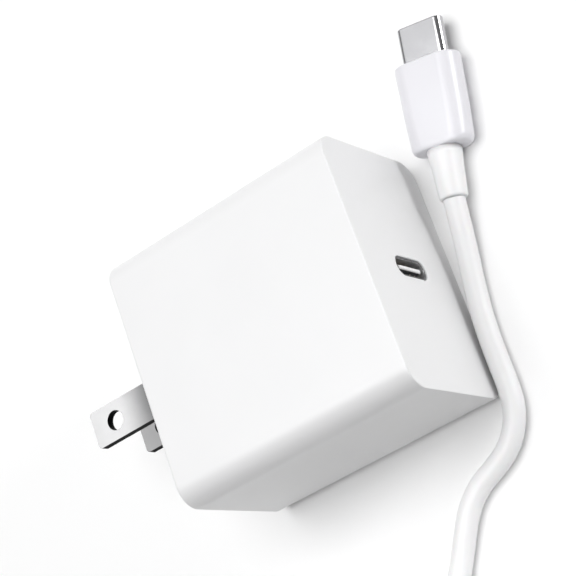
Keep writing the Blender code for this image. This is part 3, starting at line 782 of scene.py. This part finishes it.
# A face belongs to the tip if it looks this far outwards and no more than this far up
TIP_OUTWARD = 0.35
TIP_UPRIGHT = 0.85
# A face belongs to a narrow side if it looks less far up than this
SIDE_UPRIGHT = 0.6
# The other narrow side keeps the nickel, without the painted dark reflection, and its faces
# start this close to it
UNSHADED_SIDE = 0.3 * MM
# Painted shade on the lower blade: its plate is darkened to this share of the upper one's
LOWER_BLADE_PAINTED_SHADE = 0.55
# Painted shade on a blade's faces towards the rotor, where its reflection fades: the stretch
# from its start to its darkest
PAINTED_SHADE_START = 11.2 * MM
PAINTED_SHADE_END = 3.6 * MM
PAINTED_SHADE_SHARE = (0.24, 0.24, 0.243, 1.0)


class ADAPTER_OT_blades(bpy.types.Operator):
    """Add the two flat mains blades with their round holes"""

    bl_idname = "adapter.blades"
    bl_label = "Blades"

    def execute(self, context):
        settings = context.scene.adapter
        # Painted dark reflection: a near-black, barely glossy finish for the tip and one narrow
        # side
        edge_shade, _, shader = new_material("blade_edge_painted_reflection", PAINTED_DARK_EDGE, 0.5)
        shader.inputs["Specular IOR Level"].default_value = 0.02
        for side in ("line", "neutral"):
            low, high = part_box("blade_" + side)
            # The lower blade gets painted shade, a darker copy of the same nickel
            wear_and_painted_shade = 1.0 if low.z > MIDDLE_Z else LOWER_BLADE_PAINTED_SHADE
            metal = blade_metal("blade_nickel_painted_shade_" + side, shade(settings.blade_colour, wear_and_painted_shade))
            bm = bmesh.new()
            self.shape(bm, low, high, settings.blade_hole)
            bm.normal_update()
            for face in bm.faces:
                upright = abs(face.normal.z)
                tip = face.normal.x < -TIP_OUTWARD and upright < TIP_UPRIGHT
                unshaded_side = face.calc_center_median().y > high.y - UNSHADED_SIDE
                face.material_index = int(tip or (upright < SIDE_UPRIGHT and not unshaded_side))
            blade = finish_piece(
                bm, "mains_blade_" + side, "prongs", metal, ["blade_" + side],
                flat_area=BLADE_FLAT_AREA,
            )
            blade.data.materials.append(edge_shade)
        return report_done(self, "Blades made")

    def shape(self, bm, low, high, hole_radius):
        """A flat plate with a hole: its outline and the hole are joined, then thickened."""
        length, width, thick = high - low
        outline = bmesh.ops.create_grid(bm, x_segments=1, y_segments=1, size=0.5)["verts"]
        bmesh.ops.scale(bm, vec=(length, width, 1.0), verts=outline)
        bmesh.ops.translate(bm, vec=(low + high) / 2, verts=outline)
        tip = [vert for vert in outline if vert.co.x < (low.x + high.x) / 2]
        bmesh.ops.bevel(
            bm, geom=tip, offset=BLADE_CORNER, offset_type="OFFSET",
            segments=BLADE_CORNER_SEGMENTS, profile=0.5, affect="VERTICES", material=-1,
        )
        face = next(iter(bm.faces))
        rim = list(face.edges)
        bmesh.ops.delete(bm, geom=[face], context="FACES_ONLY")
        centre = (CASE_LOW.x - BLADE_HOLE_BACK, (low.y + high.y) / 2, (low.z + high.z) / 2)
        circle = bmesh.ops.create_circle(
            bm, cap_ends=False, segments=BLADE_HOLE_SEGMENTS, radius=hole_radius,
            matrix=Matrix.Translation(centre),
        )["verts"]
        hole = list({edge for vert in circle for edge in vert.link_edges})
        bmesh.ops.triangle_fill(bm, use_beauty=True, use_dissolve=False, edges=rim + hole)
        side = bm.faces[:]
        bmesh.ops.translate(bm, vec=(0, 0, -thick / 2), verts=bm.verts)
        raised = bmesh.ops.extrude_face_region(bm, geom=side, use_keep_orig=True)
        lifted = [item for item in raised["geom"] if isinstance(item, bmesh.types.BMVert)]
        bmesh.ops.translate(bm, vec=(0, 0, thick), verts=lifted)
        bmesh.ops.recalc_face_normals(bm, faces=bm.faces)
        sharp = [
            edge for edge in bm.edges
            if len(edge.link_faces) == 2 and edge.calc_face_angle() > BLADE_EDGE_ANGLE
            and abs(edge.verts[0].co.z - edge.verts[1].co.z) < thick / 2
        ]
        ease(bm, sharp, BLADE_EDGE)
        bmesh.ops.dissolve_degenerate(bm, dist=MERGE, edges=bm.edges)


def blade_metal(name, colour):
    """Nickel plate in its own colour at the tip, with painted shade darkening it towards the
    rotor.
    """
    material = plated_metal(name, colour, 0.24, (0.2, 1.0, 1.0), 0.00004 * MM)
    tree = material.node_tree
    shader = tree.nodes["Principled BSDF"]
    shader.inputs["Metallic"].default_value = 0.65
    coords = tree.nodes.new("ShaderNodeTexCoord")
    axes = tree.nodes.new("ShaderNodeSeparateXYZ")
    # Painted shade: the base colour is multiplied darker towards the rotor
    painted_shade_ramp = tree.nodes.new("ShaderNodeMapRange")
    painted_shade_ramp.interpolation_type = "SMOOTHSTEP"
    painted_shade_ramp.inputs["From Min"].default_value = CASE_LOW.x - PAINTED_SHADE_START
    painted_shade_ramp.inputs["From Max"].default_value = CASE_LOW.x - PAINTED_SHADE_END
    darker = tree.nodes.new("ShaderNodeMix")
    darker.data_type = "RGBA"
    darker.blend_type = "MULTIPLY"
    darker.inputs["B"].default_value = PAINTED_SHADE_SHARE
    tree.links.new(coords.outputs["Object"], axes.inputs["Vector"])
    tree.links.new(axes.outputs["X"], painted_shade_ramp.inputs["Value"])
    tree.links.new(painted_shade_ramp.outputs["Result"], darker.inputs["Factor"])
    tree.links.new(shader.inputs["Base Color"].links[0].from_socket, darker.inputs["A"])
    tree.links.new(darker.outputs["Result"], shader.inputs["Base Color"])
    return material


PORT_SEGMENTS = 12
PORT_OUTER_EDGE = 0.07 * MM
PORT_INNER_EDGE = 0.09 * MM
# Faces that look this far out of the port are its rim, or the tongue's nose; the nose alone
# keeps the tongue's light colour, the rest of the tongue gets painted shade
RIM_OUTWARD = 0.4
NOSE_OUTWARD = 0.3
# Painted shade on the port's rim: its plate is darkened to this share
RIM_PAINTED_SHADE = 0.2
TONGUE_SEGMENTS = 5
TONGUE_BASE = 2.0 * MM
TONGUE_WIDE = 6.69 * MM
TONGUE_THIN = 0.7 * MM
TONGUE_ROOT_THIN = 1.25 * MM
# Ends of the thick root and of the step down from it, from the base
TONGUE_ROOT_END = 1.1 * MM
TONGUE_STEP_END = 1.3 * MM
TONGUE_NOSE = 0.25 * MM
TONGUE_SPREAD = 0.5 * MM
CONTACT_COUNT = 12
CONTACT_PITCH = 0.5 * MM
CONTACT_HALF = 0.13 * MM
CONTACT_STANDS = 0.02 * MM
# Where the contacts begin and end, from the nose, and how much shorter some of them are
CONTACT_BACK = 3.2 * MM
CONTACT_FRONT = 0.9 * MM
CONTACT_SHORTER = 0.35 * MM
SHORT_CONTACTS = (1, 2, 4, 5, 6, 7, 9, 10)


class ADAPTER_OT_port(bpy.types.Operator):
    """Add the charging port: its folded steel shell and the tongue with its contacts"""

    bl_idname = "adapter.port"
    bl_label = "Port"

    def execute(self, context):
        settings = context.scene.adapter
        self.make_shell(settings)
        self.make_tongue()
        self.make_contacts()
        return report_done(self, "Port made")

    def make_shell(self, settings):
        size = PORT_HIGH - PORT_LOW
        wall = settings.port_wall
        front = Vector((PORT_HIGH.x, 0.0, MIDDLE_Z))
        back = Vector((PORT_LOW.x, 0.0, MIDDLE_Z))
        outer = (size.y, size.z, NEARLY_ROUND * size.y)
        inner = (size.y - 2 * wall, size.z - 2 * wall, NEARLY_ROUND * (size.y - 2 * wall))
        bm = bmesh.new()
        loops = [
            rounded_loop(bm, *size, PORT_SEGMENTS, place)
            for size, place in ((outer, front), (outer, back), (inner, back), (inner, front))
        ]
        loft(bm, loops, closed=True)
        ease(bm, loops[0], PORT_OUTER_EDGE, 2)
        ease(bm, loops[3], PORT_INNER_EDGE)
        bm.normal_update()
        for face in bm.faces:
            face.material_index = int(face.normal.x > RIM_OUTWARD)
        metal = plated_metal("port_plate", settings.port_colour, 0.46, (0.08, 1.0, 1.0))
        # The rim gets painted shade, a darker copy of the port's plate
        rim = plated_metal("port_rim_painted_shade", shade(settings.port_colour, RIM_PAINTED_SHADE), 0.4)
        shell = finish_piece(bm, "port_metal", "adapter", metal, ["port_shell"])
        shell.data.materials.append(rim)

    def make_tongue(self):
        """A stepped moulding: the base, then the thin tongue with a rounded nose."""
        size = TONGUE_HIGH - TONGUE_LOW
        base_x = TONGUE_LOW.x + TONGUE_BASE
        base = (size.y, size.z, 0.49 * size.y)
        root = (TONGUE_ROOT_THIN, TONGUE_WIDE + TONGUE_SPREAD, 0.49 * TONGUE_ROOT_THIN)
        plate = (TONGUE_THIN, TONGUE_WIDE, 0.2 * TONGUE_THIN)
        nose = (0.6 * TONGUE_THIN, TONGUE_WIDE - TONGUE_SPREAD, 0.15 * TONGUE_THIN)
        steps = [
            (base, TONGUE_LOW.x), (base, base_x), (root, base_x),
            (root, base_x + TONGUE_ROOT_END), (plate, base_x + TONGUE_STEP_END),
            (plate, TONGUE_HIGH.x - TONGUE_NOSE), (nose, TONGUE_HIGH.x),
        ]
        bm = bmesh.new()
        loops = [
            rounded_loop(bm, *size, TONGUE_SEGMENTS, (x, 0.0, MIDDLE_Z)) for size, x in steps
        ]
        loft(bm, loops)
        cap(bm, loops[0])
        cap(bm, loops[-1])
        # Painted shade: every face but the nose is near black, while the nose keeps the
        # tongue's light colour
        for face in bm.faces:
            face.material_index = int(face.normal.x > NOSE_OUTWARD)
        painted_shade_plastic = moulded_plastic("tongue_painted_shade", (0.05, 0.05, 0.055), 0.42)
        tongue = finish_piece(
            bm, "port_tongue_body", "adapter", painted_shade_plastic, ["port_tongue"],
        )
        tongue.data.materials.append(moulded_plastic("tongue_nose", (0.84, 0.84, 0.84), 0.42))

    def make_contacts(self):
        """Twelve gilt pads on each side of the tongue."""
        bm = bmesh.new()
        back = TONGUE_HIGH.x - CONTACT_BACK
        for side in (-1.0, 1.0):
            y = side * 0.5 * TONGUE_THIN
            for index in range(CONTACT_COUNT):
                z = MIDDLE_Z + (index - (CONTACT_COUNT - 1) / 2) * CONTACT_PITCH
                shorter = CONTACT_SHORTER if index in SHORT_CONTACTS else 0.0
                front = TONGUE_HIGH.x - CONTACT_FRONT - shorter
                box_shape(
                    bm,
                    (back, y - CONTACT_STANDS, z - CONTACT_HALF),
                    (front, y + CONTACT_STANDS, z + CONTACT_HALF),
                )
        gilt = plated_metal("contact_gilt", (0.6, 0.52, 0.4), 0.35)
        finish_piece(bm, "port_contact_pads", "adapter", gilt)


RELIEF_LENGTH = 8.4 * MM
RELIEF_STEPS = 40
# The relief's outline: along the cable and its radius, in millimetres
RELIEF_OUTLINE = [
    (0.0, 0.0), (0.0, 2.05), (0.06, 2.2), (0.2, 2.3), (0.4, 2.35), (2.6, 2.47), (5.2, 2.62),
    (7.2, 2.78), (8.3, 2.9), (8.3, 0.0),
]
GRIP_LENGTH = 15.2 * MM
GRIP_WIDE = 11.6 * MM
GRIP_THIN = 6.0 * MM
GRIP_SEGMENTS = 14
# Share of the plug's thickness that makes its sides nearly half circles
PLUG_ROUND = 0.495
# The seat in the grip's front that the metal shell stands in
GRIP_SEAT = 0.3 * MM
GRIP_SEAT_DEPTH = 1.1 * MM
PLUG_WIDE = 8.25 * MM
PLUG_THIN = 2.4 * MM
PLUG_LENGTH = 6.65 * MM
PLUG_WALL = 0.3 * MM
PLUG_SEGMENTS = 12
PLUG_OUTER_EDGE = 0.2 * MM
PLUG_INNER_EDGE = 0.05 * MM
# How far the shell and the contact block reach back into the grip
PLUG_ROOT = 0.9 * MM
BLOCK_ROOT = 0.4 * MM
BLOCK_LENGTH = 5.6 * MM
BLOCK_SEGMENTS = 5
BLOCK_ROUND = 0.45
# What the block leaves free in the shell, across its thickness and its width
BLOCK_GAP_THIN = 0.3 * MM
BLOCK_GAP_WIDE = 0.4 * MM
# The slot's width, height and corner radius, and its bottom from the block's back
BLOCK_SLOT = (TONGUE_WIDE - 0.2 * MM, 0.8 * MM, 0.1 * MM)
BLOCK_SLOT_BOTTOM = 0.4 * MM


class ADAPTER_OT_plugs(bpy.types.Operator):
    """Add the cable's two plugs: metal shell, contact block, grip and strain relief"""

    bl_idname = "adapter.plugs"
    bl_label = "Plugs"

    def execute(self, context):
        settings = context.scene.adapter_cable
        metal = plated_metal(
            "plug_metal", settings.plug_colour, settings.plug_roughness, (0.3, 1.0, 1.0),
            0.0006 * MM,
        )
        body = moulded_plastic(
            "plug_body_plastic", (0.74, 0.735, 0.77), 0.3, 9000.0, 0.0015 * MM,
        )
        relief = cable_sleeve(settings.cable_colour)
        block = moulded_plastic("contact_block_resin", (0.03, 0.03, 0.034), 0.4)
        for prefix, plug in (("plug_a", PLUG_A), ("plug_b", PLUG_B)):
            place = plug_place(plug)
            self.make_relief(prefix, place, relief)
            self.make_grip(prefix, place, body)
            self.make_metal(prefix, place, metal)
            self.make_block(prefix, place, block)
        return report_done(self, "Plugs made")

    def make_relief(self, prefix, place, material):
        bm = bmesh.new()
        profile = [(along * MM, radius * MM) for along, radius in RELIEF_OUTLINE]
        turned_shape(bm, profile, RELIEF_STEPS)
        finish_piece(
            bm, prefix + "_relief", "adapter", material, [prefix + "_strain_relief"],
            place,
        )

    def make_grip(self, prefix, place, material):
        wide, thin = GRIP_WIDE, GRIP_THIN
        start = RELIEF_LENGTH
        end = start + GRIP_LENGTH
        steps = [
            (start, wide - 2.6 * MM, thin - 0.9 * MM),
            (start + 0.12 * MM, wide - 1.9 * MM, thin - 0.4 * MM),
            (start + 0.45 * MM, wide - 1.25 * MM, thin - 0.12 * MM),
            (start + 1.0 * MM, wide - 0.9 * MM, thin),
            (start + 6.0 * MM, wide - 0.35 * MM, thin),
            (end - 0.5 * MM, wide, thin),
            (end - 0.15 * MM, wide - 0.25 * MM, thin - 0.25 * MM),
            (end, wide - 0.8 * MM, thin - 0.8 * MM),
        ]
        seat = (PLUG_WIDE + GRIP_SEAT, PLUG_THIN + GRIP_SEAT)
        steps += [(end, *seat), (end - GRIP_SEAT_DEPTH, *seat)]
        bm = bmesh.new()
        loops = [
            rounded_loop(bm, across, high, PLUG_ROUND * high, GRIP_SEGMENTS, (x, 0.0, 0.0))
            for x, across, high in steps
        ]
        loft(bm, loops)
        cap(bm, loops[0])
        cap(bm, loops[-1])
        finish_piece(
            bm, prefix + "_body", "adapter", material, [prefix + "_grip"], place,
        )

    def make_metal(self, prefix, place, material):
        front = RELIEF_LENGTH + GRIP_LENGTH + PLUG_LENGTH
        back = RELIEF_LENGTH + GRIP_LENGTH - PLUG_ROOT
        outer = (PLUG_WIDE, PLUG_THIN, PLUG_ROUND * PLUG_THIN)
        inner_thin = PLUG_THIN - 2 * PLUG_WALL
        inner = (PLUG_WIDE - 2 * PLUG_WALL, inner_thin, PLUG_ROUND * inner_thin)
        bm = bmesh.new()
        loops = [
            rounded_loop(bm, *size, PLUG_SEGMENTS, (x, 0.0, 0.0))
            for size, x in ((outer, front), (outer, back), (inner, back), (inner, front))
        ]
        loft(bm, loops, closed=True)
        ease(bm, loops[0], PLUG_OUTER_EDGE, 4)
        ease(bm, loops[3], PLUG_INNER_EDGE, 2)
        finish_piece(
            bm, prefix + "_metal", "adapter", material, [prefix + "_shell"],
            place,
        )

    def make_block(self, prefix, place, material):
        """The black block at the bottom of the plug's mouth, with a slot for the tongue."""
        back = RELIEF_LENGTH + GRIP_LENGTH - BLOCK_ROOT
        front = back + BLOCK_LENGTH
        bottom = back + BLOCK_SLOT_BOTTOM
        thin = PLUG_THIN - 2 * PLUG_WALL - BLOCK_GAP_THIN
        wide = PLUG_WIDE - 2 * PLUG_WALL - BLOCK_GAP_WIDE
        block = (wide, thin, BLOCK_ROUND * thin)
        slot = BLOCK_SLOT
        bm = bmesh.new()
        loops = [
            rounded_loop(bm, *size, BLOCK_SEGMENTS, (x, 0.0, 0.0))
            for size, x in ((block, back), (block, front), (slot, front), (slot, bottom))
        ]
        loft(bm, loops)
        cap(bm, loops[0])
        cap(bm, loops[-1])
        finish_piece(
            bm, prefix + "_contact_block", "adapter", material, [prefix + "_contacts"],
            place,
        )


COIL_HOLE = 16.0 * MM
STRAP_LOW = 0.4 * MM
STRAP_HIGH = 17.6 * MM
STRAP_THICK = 1.0 * MM
STRAP_WIDE = 8.0 * MM
# How much longer the strap is than the coil's turns are wide
STRAP_SPARE = 4.6 * MM
STRAP_OUTER_CORNER = 2.6 * MM
STRAP_INNER_CORNER = 1.6 * MM
STRAP_CORNER_SEGMENTS = 8
STRAP_EDGE = 0.3 * MM


class ADAPTER_OT_strap(bpy.types.Operator):
    """Add the soft strap that ties the coil"""

    bl_idname = "adapter.strap"
    bl_label = "Coil strap"

    def execute(self, context):
        centre = (COIL_LOW + COIL_HIGH) / 2
        outer_radius = (COIL_HIGH.y - COIL_LOW.y) / 2
        middle_radius = (outer_radius + COIL_HOLE) / 2
        depth = outer_radius - COIL_HOLE + STRAP_SPARE
        height = STRAP_HIGH - STRAP_LOW
        out = Vector((math.cos(TIE_ANGLE), math.sin(TIE_ANGLE), 0.0))
        middle = Vector((centre.x, centre.y, 0.0)) + out * middle_radius
        middle.z = (STRAP_HIGH + STRAP_LOW) / 2
        bm = bmesh.new()
        outer = (depth, height, STRAP_OUTER_CORNER)
        inner = (depth - 2 * STRAP_THICK, height - 2 * STRAP_THICK, STRAP_INNER_CORNER)
        half = STRAP_WIDE / 2
        loops = [
            rounded_loop(bm, *size, STRAP_CORNER_SEGMENTS, (x, 0.0, 0.0))
            for size, x in ((outer, half), (outer, -half), (inner, -half), (inner, half))
        ]
        loft(bm, loops, closed=True)
        for loop in loops:
            ease(bm, loop, STRAP_EDGE)
        turn = Matrix.Rotation(TIE_ANGLE + math.pi / 2, 4, "Z")
        material = moulded_plastic(
            "strap_silicone", (0.78, 0.78, 0.79), 0.55, 2600.0, 0.01 * MM,
        )
        finish_piece(
            bm, "cable_strap", "adapter", material, ["cable_tie"],
            Matrix.Translation(middle) @ turn,
        )
        return report_done(self, "Strap made")


class ADAPTER_OT_inner_parts(bpy.types.Operator):
    """Give every inner part of the fixed frame its own finish"""

    bl_idname = "adapter.inner_parts"
    bl_label = "Inner parts"

    def execute(self, context):
        finishes = {
            "nickel_plate": plated_metal("pin_nickel", (0.78, 0.765, 0.74), 0.22),
            "spring_bronze": plated_metal("spring_bronze", (0.72, 0.47, 0.25), 0.3),
            "spring_steel": plated_metal("spring_steel", (0.6, 0.6, 0.61), 0.28),
            "wire_black": moulded_plastic("wire_black", (0.035, 0.035, 0.037), 0.45),
            "wire_white": moulded_plastic("wire_white", (0.8, 0.8, 0.79), 0.45),
            "amber_film": moulded_plastic("insulating_film", (0.6, 0.3, 0.06), 0.3),
            "board_green": moulded_plastic("solder_mask", (0.015, 0.13, 0.055), 0.35),
            "aluminium_sheet": plated_metal("spreader_aluminium", (0.77, 0.775, 0.79), 0.34),
            "black_resin": moulded_plastic("part_resin", (0.028, 0.028, 0.032), 0.5),
            "blue_coating": moulded_plastic("dipped_blue", (0.03, 0.14, 0.5), 0.3),
            "yellow_film": moulded_plastic("polyester_tape", (0.8, 0.55, 0.06), 0.35),
            "ferrite": moulded_plastic("ferrite_grey", (0.07, 0.07, 0.075), 0.65),
            "copper_wire": plated_metal("enamelled_copper", (0.7, 0.3, 0.12), 0.3, (1, 1, 0.1)),
            "black_sleeve": moulded_plastic("capacitor_sleeve", (0.02, 0.02, 0.03), 0.25),
            "aluminium_can": plated_metal("drawn_can", (0.78, 0.78, 0.8), 0.25, (1, 1, 0.05)),
        }
        slots = {row["node"]: row["material_slot"] for row in frame["record"]["subparts"]}
        for name, node in frame["nodes"].items():
            if node.hide_render:
                continue
            if slots[name] not in finishes:
                raise RuntimeError(f"{name} has no finish for {slots[name]}")
            node.data.materials.clear()
            node.data.materials.append(finishes[slots[name]])
        return report_done(self, "Inner parts finished")


class ADAPTER_PT_panel(bpy.types.Panel):
    """Lists the settings and the pieces in the sidebar"""

    bl_idname = "ADAPTER_PT_panel"
    bl_label = "USB-C Power Adapter"
    bl_space_type = "VIEW_3D"
    bl_region_type = "UI"
    bl_category = "Adapter"

    def draw(self, context):
        layout = self.layout
        for setting in SETTINGS:
            group = getattr(context.scene, setting)
            for name in group.__annotations__:
                layout.prop(group, name)
        for operator in OPERATORS:
            layout.operator(operator.bl_idname)


SETTINGS = {
    "adapter": AdapterSettings,
    "adapter_cable": CableSettings,
    "adapter_stage": StageSettings,
}
OPERATORS = (
    ADAPTER_OT_stage,
    ADAPTER_OT_plugs,
    ADAPTER_OT_strap,
    ADAPTER_OT_cable,
    ADAPTER_OT_case,
    ADAPTER_OT_cover,
    ADAPTER_OT_blades,
    ADAPTER_OT_port,
    ADAPTER_OT_inner_parts,
)


def register():
    for group in SETTINGS.values():
        bpy.utils.register_class(group)
    for operator in OPERATORS:
        bpy.utils.register_class(operator)
    bpy.utils.register_class(ADAPTER_PT_panel)
    for name, group in SETTINGS.items():
        setattr(bpy.types.Scene, name, PointerProperty(type=group))


def unregister():
    for name in SETTINGS:
        delattr(bpy.types.Scene, name)
    bpy.utils.unregister_class(ADAPTER_PT_panel)
    for operator in reversed(OPERATORS):
        bpy.utils.unregister_class(operator)
    for group in reversed(list(SETTINGS.values())):
        bpy.utils.unregister_class(group)


def main():
    """Makes everything round the frame."""
    register()
    bpy.ops.adapter.stage()
    bpy.ops.adapter.plugs()
    bpy.ops.adapter.strap()
    bpy.ops.adapter.cable()
    bpy.ops.adapter.case()
    bpy.ops.adapter.cover()
    bpy.ops.adapter.blades()
    bpy.ops.adapter.port()
    bpy.ops.adapter.inner_parts()


if __name__ == "__main__":
    main()
